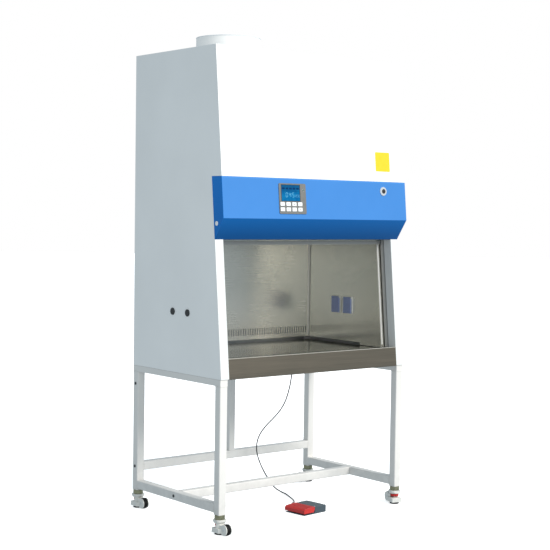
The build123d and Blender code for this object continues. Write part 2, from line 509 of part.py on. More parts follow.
end = SWITCH * Pos(24, 72, 15)
END = Vector(*end.position)
LEAD = Vector(*(SWITCH * Pos(24, 108, 15)).position)
ROUTE = [
    (GLAND_X, GLAND_Y, BODY_Z - 17), (GLAND_X, GLAND_Y, 622), (334, 259.5, 580), (326, 259.5, 536), (312, 259.5, 490),
    (292, 260, 443), (259, 260.5, 403), (216, 261, 368), (171, 261.5, 336), (134, 261.5, 300), (114, 261, 257),
    (113, 260, 211), (128, 258.5, 166), (149, 257, 124), (174, 255, 84), (199, 251, 46), (221, 238, 16),
    (230, 204, 4.2), (223, 163, 3.6), (207, 124, 3.6), (190, 84, 3.6), (172, 44, 3.6), (152, 7, 3.6),
    (129, -21, 6.0), (105, -43, 9.5), (83, -60, 13.0), (LEAD.X, LEAD.Y, LEAD.Z), (END.X, END.Y, END.Z),
]


def cord_tube(points, radius):
    points = [Vector(*p) for p in points]
    radii = []
    for before, here, after in zip(points, points[1:], points[2:]):
        turn = math.radians((here - before).get_angle(after - here))
        shorter = min((here - before).length, (after - here).length)
        radii.append(0.45 * shorter / math.tan(turn / 2))
    path = FilletPolyline(*points, radius=radii)
    section = Plane(origin=points[0], z_dir=points[1] - points[0]) * Circle(radius)
    tube = sweep(section, path=path)
    print("cord radii", [round(r) for r in radii])
    print("cord runs", [round((b - a).length) for a, b in zip(points, points[1:])])
    print("cord length", round(path.length, 1), "volume", round(tube.volume), "expected",
          round(math.pi * radius ** 2 * path.length))
    return tube


write("foot_switch_cord", cord_tube(ROUTE, CORD_R))
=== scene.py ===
import math
import random

import bmesh
import bpy
from mathutils import Matrix, Vector


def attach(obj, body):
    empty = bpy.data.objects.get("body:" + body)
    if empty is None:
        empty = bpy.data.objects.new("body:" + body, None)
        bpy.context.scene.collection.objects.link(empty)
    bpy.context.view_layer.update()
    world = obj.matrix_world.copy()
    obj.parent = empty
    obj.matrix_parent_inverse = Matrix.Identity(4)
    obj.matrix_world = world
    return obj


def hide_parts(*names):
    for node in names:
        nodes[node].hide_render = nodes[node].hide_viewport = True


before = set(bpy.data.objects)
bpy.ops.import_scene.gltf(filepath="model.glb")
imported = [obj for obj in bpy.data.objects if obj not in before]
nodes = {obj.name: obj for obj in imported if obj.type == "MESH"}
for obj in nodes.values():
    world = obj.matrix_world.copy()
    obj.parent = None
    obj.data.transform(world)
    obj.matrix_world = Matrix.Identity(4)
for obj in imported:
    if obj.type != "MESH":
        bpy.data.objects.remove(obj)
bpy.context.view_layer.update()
scene = bpy.context.scene

# ------------------------------------------------------------------ sizes shared with the CAD, in metres
SLOPE = 0.0945
ANG = math.atan(SLOPE)
CA, SA = math.cos(ANG), math.sin(ANG)


def yf(z):
    return -0.3305 + (z - 1.380) * SLOPE


def yp(z):
    return yf(z) + 0.070


# ------------------------------------------------------------------ camera
cam_data = bpy.data.cameras.new("camera")
cam = bpy.data.objects.new("camera", cam_data)
scene.collection.objects.link(cam)
yaw, pitch, roll = math.radians(38.941), math.radians(-2.604), math.radians(0.812)
fwd = Vector((math.sin(yaw) * math.cos(pitch), math.cos(yaw) * math.cos(pitch), math.sin(pitch)))
right = Vector((math.cos(yaw), -math.sin(yaw), 0.0))
up = right.cross(fwd)
r2 = right * math.cos(roll) + up * math.sin(roll)
u2 = -right * math.sin(roll) + up * math.cos(roll)
m = Matrix((
    (r2.x, u2.x, -fwd.x, -3.9058),
    (r2.y, u2.y, -fwd.y, -4.8407),
    (r2.z, u2.z, -fwd.z, 1.3939),
    (0, 0, 0, 1)))
cam.matrix_world = m
cam_data.sensor_width = 36.0
cam_data.lens = 1305.3 / 550 * 36.0
cam_data.clip_end = 100
scene.camera = cam


# ------------------------------------------------------------------ node helpers
class Mat:
    """A Principled material and short ways to drive it."""

    def __init__(self, name, colour, rough=0.5, metal=0.0, **sockets):
        self.m = bpy.data.materials.new(name)
        self.m.use_nodes = True
        self.nt = self.m.node_tree
        self.b = next(n for n in self.nt.nodes if n.type == "BSDF_PRINCIPLED")
        self.b.inputs["Base Color"].default_value = (*colour, 1)
        self.b.inputs["Roughness"].default_value = rough
        self.b.inputs["Metallic"].default_value = metal
        for k, v in sockets.items():
            self.b.inputs[k.replace("_", " ")].default_value = v
        self.tc = self.nt.nodes.new("ShaderNodeTexCoord")
        self.colour = colour
        self.last_bump = None

    def new(self, kind):
        return self.nt.nodes.new(kind)

    def link(self, a, b):
        self.nt.links.new(a, b)

    def coords(self, scale=(1, 1, 1), rotation=(0, 0, 0)):
        mp = self.new("ShaderNodeMapping")
        mp.inputs["Scale"].default_value = scale
        mp.inputs["Rotation"].default_value = rotation
        self.link(self.tc.outputs["Object"], mp.inputs["Vector"])
        return mp.outputs["Vector"]

    def noise(self, scale, detail=3.0, rough=0.55, stretch=(1, 1, 1), distortion=0.0):
        n = self.new("ShaderNodeTexNoise")
        n.inputs["Scale"].default_value = scale
        n.inputs["Detail"].default_value = detail
        n.inputs["Roughness"].default_value = rough
        n.inputs["Distortion"].default_value = distortion
        self.link(self.coords(stretch), n.inputs["Vector"])
        return n.outputs["Fac"]

    def axis(self, which):
        s = self.new("ShaderNodeSeparateXYZ")
        self.link(self.tc.outputs["Object"], s.inputs[0])
        return s.outputs[which]

    def remap(self, src, a, b, c, d, smooth=False):
        n = self.new("ShaderNodeMapRange")
        n.interpolation_type = "SMOOTHSTEP" if smooth else "LINEAR"
        for i, v in zip((1, 2, 3, 4), (a, b, c, d)):
            n.inputs[i].default_value = v
        self.link(src, n.inputs[0])
        return n.outputs[0]

    def maths(self, op, a, b=None):
        n = self.new("ShaderNodeMath")
        n.operation = op
        for i, v in enumerate((a, b)):
            if v is None:
                continue
            if isinstance(v, (int, float)):
                n.inputs[i].default_value = v
            else:
                self.link(v, n.inputs[i])
        return n.outputs[0]

    def mix(self, fac, a, b):
        n = self.new("ShaderNodeMix")
        n.data_type = "RGBA"
        n.clamp_factor = True
        for sock, v in ((n.inputs["Factor"], fac), (n.inputs[6], a), (n.inputs[7], b)):
            if isinstance(v, (int, float)):
                sock.default_value = v
            elif isinstance(v, tuple):
                sock.default_value = (*v, 1)
            else:
                self.link(v, sock)
        return n.outputs[2]

    def set(self, socket, src):
        self.link(src, self.b.inputs[socket])

    def bump(self, src, strength, distance):
        n = self.new("ShaderNodeBump")
        n.inputs["Strength"].default_value = strength
        n.inputs["Distance"].default_value = distance
        self.link(src, n.inputs["Height"])
        if self.last_bump is not None:
            self.link(self.last_bump, n.inputs["Normal"])
        self.last_bump = n.outputs["Normal"]
        self.link(self.last_bump, self.b.inputs["Normal"])
        return n.outputs["Normal"]


def shade(c, k):
    return tuple(max(0.0, min(1.0, v * k)) for v in c)


def powder(name, colour, rough=0.36, peel=0.10, spread=0.03, dirt=0.0, low=None, extra=None):
    """Powder coat: fine orange peel, faint clouds, a little grime near the floor."""
    p = Mat(name, colour, rough, Coat_Weight=0.08, Coat_Roughness=0.25)
    clouds = p.noise(2.4, 4.0)
    col = p.mix(p.remap(clouds, 0.35, 0.65, 0, 1), shade(colour, 1 - spread), shade(colour, 1 + spread * 0.6))
    if dirt:
        fine = p.noise(38, 5.0, 0.7)
        mask = p.maths("MULTIPLY", p.remap(fine, 0.50, 0.78, 0, 1), dirt)
        col = p.mix(mask, col, shade(colour, 0.72))
    if low:
        mask = p.maths("MULTIPLY", p.remap(p.axis(2), low, 0.0, 0, 1), p.remap(p.noise(22, 4), 0.3, 0.75, 0.1, 0.6))
        col = p.mix(mask, col, shade(colour, 0.62))
    if extra:
        col = extra(p, col)
    p.set("Base Color", col)
    fine = p.noise(420, 2.0, 0.5)
    p.set("Roughness", p.remap(p.noise(14, 3), 0.3, 0.7, rough - 0.05, rough + 0.06))
    p.bump(fine, peel, 0.0004)
    return p.m


def brushed(name, colour, rough=0.3, direction="x", contrast=0.10, anis=0.0, strength=0.06, extra=None):
    """Brushed sheet metal: fine lines along one direction, soft blotches from handling."""
    p = Mat(name, colour, rough, 1.0)
    stretch = {"x": (3, 700, 700), "y": (700, 3, 700), "z": (700, 700, 3), "h": (3, 3, 900)}[direction]
    lines = p.noise(1.0, 4.0, 0.65, stretch)
    blot = p.noise(5.0, 3.0)
    col = p.mix(p.remap(lines, 0.35, 0.65, 0, 1), shade(colour, 1 - contrast), shade(colour, 1 + contrast))
    col = p.mix(p.remap(blot, 0.3, 0.7, 0, 0.35), col, shade(colour, 0.86))
    if extra:
        col = extra(p, col)
    p.set("Base Color", col)
    p.set("Roughness", p.maths("ADD", p.remap(lines, 0.3, 0.7, rough - 0.05, rough + 0.07), p.remap(blot, 0.3, 0.7, 0.0, 0.06)))
    p.bump(lines, strength, 0.0003)
    return p.m


def moulded(name, colour, rough=0.45, grain=900, strength=0.12, spread=0.06, coat=0.0):
    """Moulded plastic or rubber: fine grain and a slight mottle."""
    p = Mat(name, colour, rough, Coat_Weight=coat, Coat_Roughness=0.2)
    mottle = p.noise(60, 3.0)
    p.set("Base Color", p.mix(p.remap(mottle, 0.3, 0.7, 0, 1), shade(colour, 1 - spread), shade(colour, 1 + spread)))
    p.set("Roughness", p.remap(mottle, 0.3, 0.7, rough - 0.06, rough + 0.06))
    p.bump(p.noise(grain, 2.0), strength, 0.0003)
    return p.m


# ------------------------------------------------------------------ materials

# Painted shade: the stand's copy of the white powder coat is darker than the casing's.
WHITE_STAND_SHADED = powder("white_powder_coat", (0.74, 0.72, 0.69), low=0.35)
WHITE_CASING = powder("white_powder_coat_casing", (0.86, 0.86, 0.85))
# Painted shade: the pillars' copy of the white powder coat is darker than the casing's.
PILLAR_SHADED = powder("white_powder_coat_pillar", (0.735, 0.745, 0.735))


def blue_satin():
    """Satin moulding in one blue with painted light: the leaning face lighter, with a painted highlight along its top
    edge; painted shade makes the slope below the crease and the end caps deeper, darker towards the bottom.
    """
    p = Mat("blue_satin", (0.056, 0.22, 0.565), 0.38, Specular_IOR_Level=0.16)
    clouds = p.noise(3.0, 4.0)
    face = p.mix(p.remap(clouds, 0.35, 0.65, 0, 1), (0.054, 0.213, 0.548), (0.058, 0.226, 0.580))
    # Painted highlight: the top edge of the leaning face is made lighter.
    face = p.mix(p.remap(p.axis(2), 1.560, 1.554, 1, 0), face, (0.075, 0.26, 0.63))
    # Painted shade: the slope below the crease is darker than the face, darker still towards its foot.
    slope = p.mix(p.remap(p.axis(2), 1.300, 1.375, 0, 1), (0.001, 0.074, 0.255), (0.002, 0.118, 0.395))
    col = p.mix(p.remap(p.axis(2), 1.3815, 1.3785, 0, 1), face, slope)
    # Painted shade: the end caps are darker than the face and darker towards the bottom.
    ends = p.remap(p.maths("ABSOLUTE", p.axis(0)), 0.5490, 0.5496, 0, 1)
    cap = p.mix(p.remap(p.axis(2), 1.30, 1.55, 0, 1), (0.000, 0.150, 0.520), (0.002, 0.185, 0.620))
    p.set("Base Color", p.mix(ends, col, cap))
    p.set("Roughness", p.remap(p.noise(16, 3), 0.3, 0.7, 0.34, 0.44))
    p.bump(p.noise(420, 2.0, 0.5), 0.08, 0.0004)
    return p.m


BLUE = blue_satin()
GREY = powder("grey_powder_coat", (0.55, 0.58, 0.60))


def liner_steel():
    """Polished liner: the side walls mirror, the back wall is duller."""
    p = Mat("stainless_liner", (0.74, 0.72, 0.65), 0.2, 0.82)
    lines = p.noise(1.0, 4.0, 0.65, (3, 3, 900))
    blot = p.noise(4.0, 3.0)
    back = p.remap(p.axis(1), 0.284, 0.290, 0, 1)
    col = p.mix(back, (0.70, 0.68, 0.61), (0.64, 0.63, 0.575))
    col = p.mix(p.remap(lines, 0.35, 0.65, 0, 1), col, p.mix(0.035, col, (0.25, 0.24, 0.22)))
    col = p.mix(p.remap(blot, 0.3, 0.7, 0, 0.22), col, p.mix(0.3, col, (0.45, 0.44, 0.40)))
    p.set("Base Color", col)
    base = p.mix(back, (0.13, 0.13, 0.13), (0.24, 0.24, 0.24))
    rough = p.maths("ADD", base, p.remap(lines, 0.3, 0.7, -0.008, 0.018))
    p.set("Roughness", p.maths("ADD", rough, p.remap(blot, 0.3, 0.7, 0.0, 0.04)))
    p.bump(lines, 0.008, 0.0002)
    return p.m


LINER = liner_steel()
TRAY = brushed("stainless_tray", (0.215, 0.204, 0.176), 0.13, "x", 0.06, strength=0.03)


def sill_tone(p, col):
    # Painted highlight: a bright band along the top fold of the sill.
    fold_highlight = p.remap(p.axis(2), 0.7660, 0.7672, 0, 1)
    # Darker towards the bottom of the sill, in uneven patches.
    low_darkening = p.maths("MULTIPLY", p.remap(p.axis(2), 0.70, 0.676, 0, 0.5), p.remap(p.noise(9, 4), 0.3, 0.7, 0.3, 1.0))
    return p.mix(fold_highlight, p.mix(low_darkening, col, (0.12, 0.115, 0.10)), (0.95, 0.90, 0.80))


# The sill's base colour is kept dark as a painted reflection of dark surroundings.
SILL = brushed("stainless_sill", (0.193, 0.166, 0.130), 0.36, "x", 0.12, extra=sill_tone)
COVE = brushed("stainless_cove", (0.60, 0.59, 0.54), 0.42, "z", 0.04, strength=0.01)
COVE.node_tree.nodes["Principled BSDF"].inputs["Metallic"].default_value = 0.35
RAIL = brushed("satin_steel_rail", (0.42, 0.41, 0.385), 0.40, "x", 0.08)
BRIGHT = brushed("bright_steel", (0.66, 0.66, 0.65), 0.28, "x", 0.06)
ALU = brushed("anodised_aluminium", (0.62, 0.63, 0.63), 0.34, "z", 0.05)
GUIDE = brushed("anodised_guide", (0.445, 0.445, 0.43), 0.36, "z", 0.05)
GALV = brushed("galvanised_sheet", (0.50, 0.52, 0.53), 0.42, "z", 0.05)
BLACK = moulded("black_plastic", (0.018, 0.018, 0.019), 0.5)
DARK = moulded("dark_grey_plastic", (0.05, 0.07, 0.085), 0.5, 700, 0.2)
PANEL = moulded("panel_grey", (0.157, 0.157, 0.149), 0.5)
KEY = moulded("key_white", (0.84, 0.85, 0.85), 0.42)
RED = moulded("red_plastic", (0.50, 0.022, 0.018), 0.42, 800, 0.15)
IVORY = moulded("cast_housing", (0.70, 0.69, 0.65), 0.36, 700, 0.15)
IVORY.node_tree.nodes["Principled BSDF"].inputs["Metallic"].default_value = 0.15
RUBBER = moulded("black_rubber", (0.006, 0.006, 0.006), 0.60, 600, 0.25)
RUBBER.node_tree.nodes["Principled BSDF"].inputs["Specular IOR Level"].default_value = 0.22
CORD = moulded("cord_rubber", (0.045, 0.046, 0.05), 0.5, 1500, 0.2)
ZINC = moulded("yellow_zinc", (0.33, 0.32, 0.21), 0.32, 500, 0.1, 0.15)
ZINC.node_tree.nodes["Principled BSDF"].inputs["Metallic"].default_value = 0.9
CHROME = moulded("chrome", (0.93, 0.93, 0.94), 0.10, 200, 0.02, 0.02)
CHROME.node_tree.nodes["Principled BSDF"].inputs["Metallic"].default_value = 0.72
LID = moulded("lid_blue", (0.29, 0.35, 0.60), 0.35, coat=0.1)
SOCKET = moulded("socket_white", (0.80, 0.79, 0.74), 0.4)
SEAL = moulded("white_plug", (0.86, 0.87, 0.86), 0.5, 500, 0.2)
SEAL_GREY = moulded("pale_seal", (0.55, 0.55, 0.52), 0.5, 500, 0.2)
# Painted shade: a bluish-grey copy of the white powder coat for the collar's rolled beads.
ROLL_PAINTED_SHADE = powder("white_powder_coat_edge", (0.62, 0.67, 0.70))
INK = moulded("display_segment", (0.14, 0.48, 0.70), 0.4, 900, 0.05)
INK_DARK = moulded("display_block", (0.001, 0.030, 0.105), 0.4, 900, 0.05)
INK_DARK.node_tree.nodes["Principled BSDF"].inputs["Specular IOR Level"].default_value = 0.06
YELLOW = moulded("yellow_film", (0.72, 0.58, 0.01), 0.38, 300, 0.05, 0.03, 0.2)
GREEN_LENS = moulded("green_lens", (0.01, 0.09, 0.03), 0.15, 200, 0.05, 0.1, 0.6)
BRASS = moulded("brass_pin", (0.60, 0.45, 0.16), 0.25, 300, 0.05, 0.1)
BRASS.node_tree.nodes["Principled BSDF"].inputs["Metallic"].default_value = 1.0
SCREW = moulded("zinc_screw", (0.62, 0.63, 0.64), 0.28, 700, 0.08, 0.08)
SCREW.node_tree.nodes["Principled BSDF"].inputs["Metallic"].default_value = 0.95
FILTER = moulded("filter_media", (0.78, 0.78, 0.74), 0.85, 300, 0.4)

glass = Mat("safety_glass", (0.72, 0.86, 0.82), 0.03, 0.0, Alpha=0.16, IOR=1.5)
glass.set("Roughness", glass.remap(glass.noise(6, 3), 0.3, 0.7, 0.02, 0.05))
GLASS = glass.m
EDGE = moulded("glass_edge_green", (0.10, 0.30, 0.24), 0.12, 300, 0.05, 0.2)
lamp = Mat("lamp_opal", (0.90, 0.91, 0.93), 0.25)
lamp.set("Base Color", lamp.mix(lamp.remap(lamp.noise(30, 3), 0.3, 0.7, 0, 1), (0.88, 0.89, 0.92), (0.93, 0.94, 0.95)))
LAMP = lamp.m
screen = Mat("display_blue", (0.001, 0.10, 0.25), 0.25, Emission_Strength=0.09, Specular_IOR_Level=0.08)
glow = screen.mix(screen.remap(screen.noise(34, 2), 0.35, 0.65, 0, 1), (0.001, 0.085, 0.24), (0.002, 0.14, 0.32))
glow = screen.mix(screen.remap(screen.axis(2), 1.49, 1.525, 0, 0.75), glow, (0.003, 0.05, 0.14))
screen.set("Base Color", glow)
screen.set("Roughness", screen.remap(screen.noise(12, 2), 0.3, 0.7, 0.18, 0.30))
screen.b.inputs["Emission Color"].default_value = (0.0, 0.20, 0.42, 1)
SCREEN = screen.m

TABLE = {
    "front_cover": WHITE_CASING, "side_panels": WHITE_CASING, "rear_panel": WHITE_CASING, "top_panel": WHITE_CASING,
    "exhaust_collar": WHITE_CASING, "front_pillars": PILLAR_SHADED, "stand_side_frames": WHITE_STAND_SHADED, "stand_cross_rails": WHITE_STAND_SHADED,
    "control_fascia": BLUE, "control_plate": PANEL, "display_window": SCREEN, "key_switch_bezel": CHROME,
    "key_switch_plug": BLACK, "chamber_liner": LINER, "diffuser_grille": BRIGHT, "work_tray": TRAY, "front_grille": TRAY,
    "front_sill": SILL, "drain_pan": GREY, "plenum_box": GALV, "hepa_filters": FILTER, "blower_housing": ALU,
    "blower_impeller": ALU, "uv_lamp": LAMP, "led_lamp": LAMP, "socket_outlets": SOCKET, "socket_cover_front": LID,
    "socket_cover_rear": LID, "sash_guides": GUIDE, "sash_glass": GLASS, "sash_rails": RAIL, "sash_lift_shaft": BRIGHT,
    "sash_idler_shaft": BRIGHT, "sash_belts": RUBBER, "foot_switch_base": DARK, "foot_switch_pedal": RED,
    "cord_gland": BLACK, "foot_switch_cord": CORD, "blanking_plugs": BLACK, "power_inlet": BLACK,
}
for i in range(1, 9):
    TABLE[f"key_{i}"] = KEY
for c in ("front_left", "front_right", "rear_left", "rear_right"):
    TABLE[f"caster_{c}_housing"] = IVORY
    TABLE[f"caster_{c}_wheel"] = RUBBER
    TABLE[f"caster_{c}_leveller"] = RED
for name, o in nodes.items():
    if not o.material_slots:
        o.data.materials.append(TABLE[name])
    for s in o.material_slots:
        s.link = "OBJECT"
        s.material = TABLE[name]



def soften(name, width, segments=2, angle=28):
    """Rounds a CAD node's sharp edges without touching its mesh."""
    o = nodes[name]
    w = o.modifiers.new("weld", "WELD")
    w.merge_threshold = 2e-5
    b = o.modifiers.new("round", "BEVEL")
    b.width = width
    b.segments = segments
    b.limit_method = "ANGLE"
    b.angle_limit = math.radians(angle)
    b.use_clamp_overlap = True
    b.harden_normals = False
    b.miter_outer = "MITER_ARC"
    n = o.modifiers.new("normals", "WEIGHTED_NORMAL")
    n.keep_sharp = False
    n.weight = 60


for name, width in (("front_cover", 0.0008),
                    ("front_pillars", 0.0008), ("control_fascia", 0.0012), ("top_panel", 0.0005), ("rear_panel", 0.0005),
                    ("control_plate", 0.0008), ("front_sill", 0.0006), ("foot_switch_base", 0.0008),
                    ("foot_switch_pedal", 0.001), ("socket_cover_front", 0.0007), ("socket_cover_rear", 0.0007),
                    ("caster_front_left_housing", 0.0007), ("caster_front_right_housing", 0.0007),
                    ("caster_rear_left_housing", 0.0007), ("caster_rear_right_housing", 0.0007),
                    ("exhaust_collar", 0.0004), ("work_tray", 0.0006), ("power_inlet", 0.0006)):
    soften(name, width)

# ------------------------------------------------------------------ foot switch cord, along the CAD route
ROUTE = [
    (0.338, 0.2595, 0.662), (0.338, 0.2595, 0.622), (0.334, 0.2595, 0.580), (0.326, 0.2595, 0.536), (0.312, 0.2595, 0.490),
    (0.292, 0.260, 0.443), (0.259, 0.2605, 0.403), (0.216, 0.261, 0.368), (0.171, 0.2615, 0.336), (0.134, 0.2615, 0.300),
    (0.114, 0.261, 0.257), (0.113, 0.260, 0.211), (0.128, 0.2585, 0.166), (0.149, 0.257, 0.124), (0.174, 0.255, 0.084),
    (0.199, 0.251, 0.046), (0.221, 0.238, 0.016), (0.230, 0.204, 0.0042), (0.223, 0.163, 0.0036), (0.207, 0.124, 0.0036),
    (0.190, 0.084, 0.0036), (0.172, 0.044, 0.0036), (0.152, 0.007, 0.0036), (0.129, -0.021, 0.0060), (0.105, -0.043, 0.0095),
    (0.083, -0.060, 0.0130), (0.06858, -0.08258, 0.015), (0.07234, -0.11839, 0.015),
]
curve = bpy.data.curves.new("foot_switch_lead", "CURVE")
curve.dimensions = "3D"
spline = curve.splines.new("NURBS")
spline.points.add(len(ROUTE) - 1)
for p, (x, y, z) in zip(spline.points, ROUTE):
    p.co = (x, y, z, 1)
spline.order_u = 3
spline.use_endpoint_u = True
spline.resolution_u = 12
curve.bevel_depth = 0.003
curve.bevel_resolution = 5
curve.use_fill_caps = True
lead = bpy.data.objects.new("foot_switch_lead", curve)
scene.collection.objects.link(lead)
curve.materials.append(CORD)
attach(lead, "cabinet")
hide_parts("foot_switch_cord")

# ------------------------------------------------------------------ mesh helpers
def piece(name, bm, mat, body, angle=34, hides=()):
    """Turns a bmesh into a named piece that rides on a body."""
    bmesh.ops.recalc_face_normals(bm, faces=bm.faces[:])
    mesh = bpy.data.meshes.new(name)
    bm.to_mesh(mesh)
    bm.free()
    for poly in mesh.polygons:
        poly.use_smooth = True
    mesh.set_sharp_from_angle(angle=math.radians(angle))
    mesh.materials.append(mat)
    o = bpy.data.objects.new(name, mesh)
    scene.collection.objects.link(o)
    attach(o, body)
    if hides:
        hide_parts(*hides)
    return o


def frame_of(axis):
    """Two directions square to an axis."""
    w = Vector(axis).normalized()
    u = w.orthogonal().normalized() if abs(w.z) > 0.9 else Vector((0, 0, 1)).cross(w).normalized()
    return u, w.cross(u), w


def lathe(bm, origin, axis, profile, n=40):
    """Closed body of revolution: profile is a list of (radius, height) along the axis."""
    o = Vector(origin)
    u, v, w = frame_of(axis)
    rings = []
    for r, h in profile:
        if r < 1e-7:
            rings.append([bm.verts.new(o + w * h)])
        else:
            rings.append([bm.verts.new(o + w * h + (u * math.cos(2 * math.pi * i / n) + v * math.sin(2 * math.pi * i / n)) * r)
                          for i in range(n)])
    for a, b in zip(rings, rings[1:]):
        for i in range(n):
            j = (i + 1) % n
            if len(a) == 1 and len(b) == 1:
                continue
            if len(a) == 1:
                bm.faces.new((a[0], b[i], b[j]))
            elif len(b) == 1:
                bm.faces.new((a[i], b[0], a[j]))
            else:
                bm.faces.new((a[i], b[i], b[j], a[j]))
    return rings


def rounded(w, h, r, n=5):
    """Points of a rounded rectangle, anticlockwise."""
    r = min(r, w / 2 - 1e-6, h / 2 - 1e-6)
    pts = []
    for cx, cy, start in ((w / 2 - r, h / 2 - r, 0), (-w / 2 + r, h / 2 - r, 90), (-w / 2 + r, -h / 2 + r, 180), (w / 2 - r, -h / 2 + r, 270)):
        for i in range(n + 1):
            t = math.radians(start + 90 * i / n)
            pts.append((cx + r * math.cos(t), cy + r * math.sin(t)))
    return pts


def loft(bm, sections):
    """Skins equal-length loops of points and closes both ends."""
    loops = [[bm.verts.new(p) for p in sec] for sec in sections]
    n = len(loops[0])
    for a, b in zip(loops, loops[1:]):
        for i in range(n):
            j = (i + 1) % n
            bm.faces.new((a[i], a[j], b[j], b[i]))
    bm.faces.new(loops[0][::-1])
    bm.faces.new(loops[-1])


def bar(bm, a, b, w, h, r=0.004, cap=0.0012, up=(0, 0, 1)):
    """Rounded rectangular bar from a to b; h is measured along up."""
    a, b = Vector(a), Vector(b)
    d = (b - a).normalized()
    v = Vector(up)
    v = (v - d * v.dot(d)).normalized()
    u = v.cross(d)
    sections = []
    for t, k in ((0, cap), (cap, 0), (-cap, 0), (0, cap)):
        base = a + d * t if len(sections) < 2 else b + d * t
        sections.append([base + u * x + v * y for x, y in rounded(w - 2 * k, h - 2 * k, r)])
    loft(bm, sections)


def plate(bm, origin, u, v, w, pts, thick, edge=0.0003):
    """Flat plate with a broken front edge: outline pts in (u, v), thickness along w."""
    o, u, v, w = Vector(origin), Vector(u), Vector(v), Vector(w)
    cx = sum(p[0] for p in pts) / len(pts)
    cy = sum(p[1] for p in pts) / len(pts)
    span = max(max(abs(p[0] - cx), abs(p[1] - cy)) for p in pts)
    k = max(0.0, 1 - edge / span)
    sections = []
    for h, s in ((0, 1.0), (thick - edge, 1.0), (thick, k)):
        sections.append([o + u * (cx + (p[0] - cx) * s) + v * (cy + (p[1] - cy) * s) + w * h for p in pts])
    loft(bm, sections)


def bead(bm, pts, normals, along, r=0.0022, n=7, seed=1):
    """Weld bead along a closed path, with the small scallops of a run of weld."""
    rng = random.Random(seed)
    loops = []
    for k, (p, o) in enumerate(zip(pts, normals)):
        rr = r * (0.88 + 0.14 * math.sin(k * 2.1) + 0.06 * rng.random())
        loops.append([bm.verts.new(Vector(p) + Vector(o) * rr * math.cos(2 * math.pi * i / n) + Vector(along) * rr * math.sin(2 * math.pi * i / n))
                      for i in range(n)])
    m = len(loops)
    for k in range(m):
        a, b = loops[k], loops[(k + 1) % m]
        for i in range(n):
            j = (i + 1) % n
            bm.faces.new((a[i], a[j], b[j], b[i]))


def weld_round(bm, centre, axis, w, h, r=0.0022, seed=1, up=(0, 0, 1), corner=0.004):
    """Bead round a rectangular tube where it meets another."""
    d = Vector(axis).normalized()
    v = Vector(up)
    v = (v - d * v.dot(d)).normalized()
    u = v.cross(d)
    pts, normals = [], []
    outline = rounded(w, h, corner, 4)
    dense = []
    for (x0, y0), (x1, y1) in zip(outline, outline[1:] + outline[:1]):
        length = math.hypot(x1 - x0, y1 - y0)
        steps = max(1, int(length / 0.0022))
        for i in range(steps):
            t = i / steps
            dense.append((x0 + (x1 - x0) * t, y0 + (y1 - y0) * t))
    for x, y in dense:
        pts.append(Vector(centre) + u * x + v * y)
        normals.append((u * x + v * y).normalized())
    bead(bm, pts, normals, d, r, seed=seed)


def screw_head(bm, where, axis, r=0.004, h=0.0018):
    """Pan head with a six-lobe-sized round socket."""
    lathe(bm, where, axis, [(0, h * 0.35), (r * 0.36, h * 0.35), (r * 0.42, h * 0.96), (r * 0.60, h), (r * 0.86, h * 0.80), (r * 0.98, h * 0.35), (r, 0), (0, -0.0004)], 20)


# ------------------------------------------------------------------ stand: rounded tube, welded, with caster sleeves
bm = bmesh.new()
beads = bmesh.new()
for sx in (-1, 1):
    X = sx * 0.530
    for Y in (-0.3025, 0.3495):
        bar(bm, (X, Y, 0.0845), (X, Y, 0.6485), 0.040, 0.040, 0.0045, 0.0015, up=(0, 1, 0))
        weld_round(beads, (X, Y, 0.6490), (0, 0, 1), 0.0392, 0.0392, 0.0020, int(7 + sx * 3 + Y * 9), up=(0, 1, 0))
    bar(bm, (X, -0.3225, 0.664), (X, 0.3695, 0.664), 0.040, 0.030, 0.004, 0.0012)
    bar(bm, (X, -0.2826, 0.112), (X, 0.3296, 0.112), 0.040, 0.040, 0.0045, 0.0004)
    weld_round(beads, (X, -0.2824, 0.112), (0, 1, 0), 0.0392, 0.0392, 0.0021, 31 + sx)
    weld_round(beads, (X, 0.3294, 0.112), (0, 1, 0), 0.0392, 0.0392, 0.0021, 41 + sx)
stand = piece("stand_frames_tube", bm, WHITE_STAND_SHADED, "cabinet", hides=("stand_side_frames",))
bm = bmesh.new()
bar(bm, (-0.5101, 0.3495, 0.664), (0.5101, 0.3495, 0.664), 0.040, 0.030, 0.004, 0.0004)
bar(bm, (-0.5101, 0.3495, 0.198), (0.5101, 0.3495, 0.198), 0.040, 0.040, 0.0045, 0.0004)
bar(bm, (0.012, 0.3495, 0.2179), (0.012, 0.3495, 0.6491), 0.036, 0.040, 0.0045, 0.0004, up=(0, 1, 0))
bar(bm, (-0.5101, 0.025, 0.112), (0.5101, 0.025, 0.112), 0.040, 0.040, 0.0045, 0.0004)
piece("stand_rails_tube", bm, WHITE_STAND_SHADED, "cabinet", hides=("stand_cross_rails",))
for sx in (-1, 1):
    for Y, Z, H in ((0.3495, 0.664, 0.0292), (0.3495, 0.198, 0.0392), (0.025, 0.112, 0.0392)):
        weld_round(beads, (sx * 0.5098, Y, Z), (1, 0, 0), 0.0392, H, 0.0021, int(50 + sx * 5 + Z * 20))
for Z in (0.2182, 0.6488):
    weld_round(beads, (0.012, 0.3495, Z), (0, 0, 1), 0.0352, 0.0392, 0.0019, int(Z * 100), up=(0, 1, 0))
piece("stand_weld_beads", beads, WHITE_STAND_SHADED, "cabinet", angle=60)

bm = bmesh.new()
for X in (-0.530, 0.530):
    for Y in (-0.3025, 0.3495):
        lathe(bm, (X, Y, 0.066), (0, 0, 1), [(0.0085, 0), (0.0222, 0), (0.0235, 0.0012), (0.0235, 0.0030), (0.0226, 0.0036), (0.0226, 0.0064),
                                            (0.0235, 0.0070), (0.0235, 0.0112), (0.0226, 0.0118), (0.0226, 0.0146), (0.0235, 0.0152),
                                            (0.0235, 0.0170), (0.0222, 0.0182), (0.0085, 0.0182), (0.0085, 0)], 48)
piece("caster_sleeves", bm, ZINC, "cabinet")

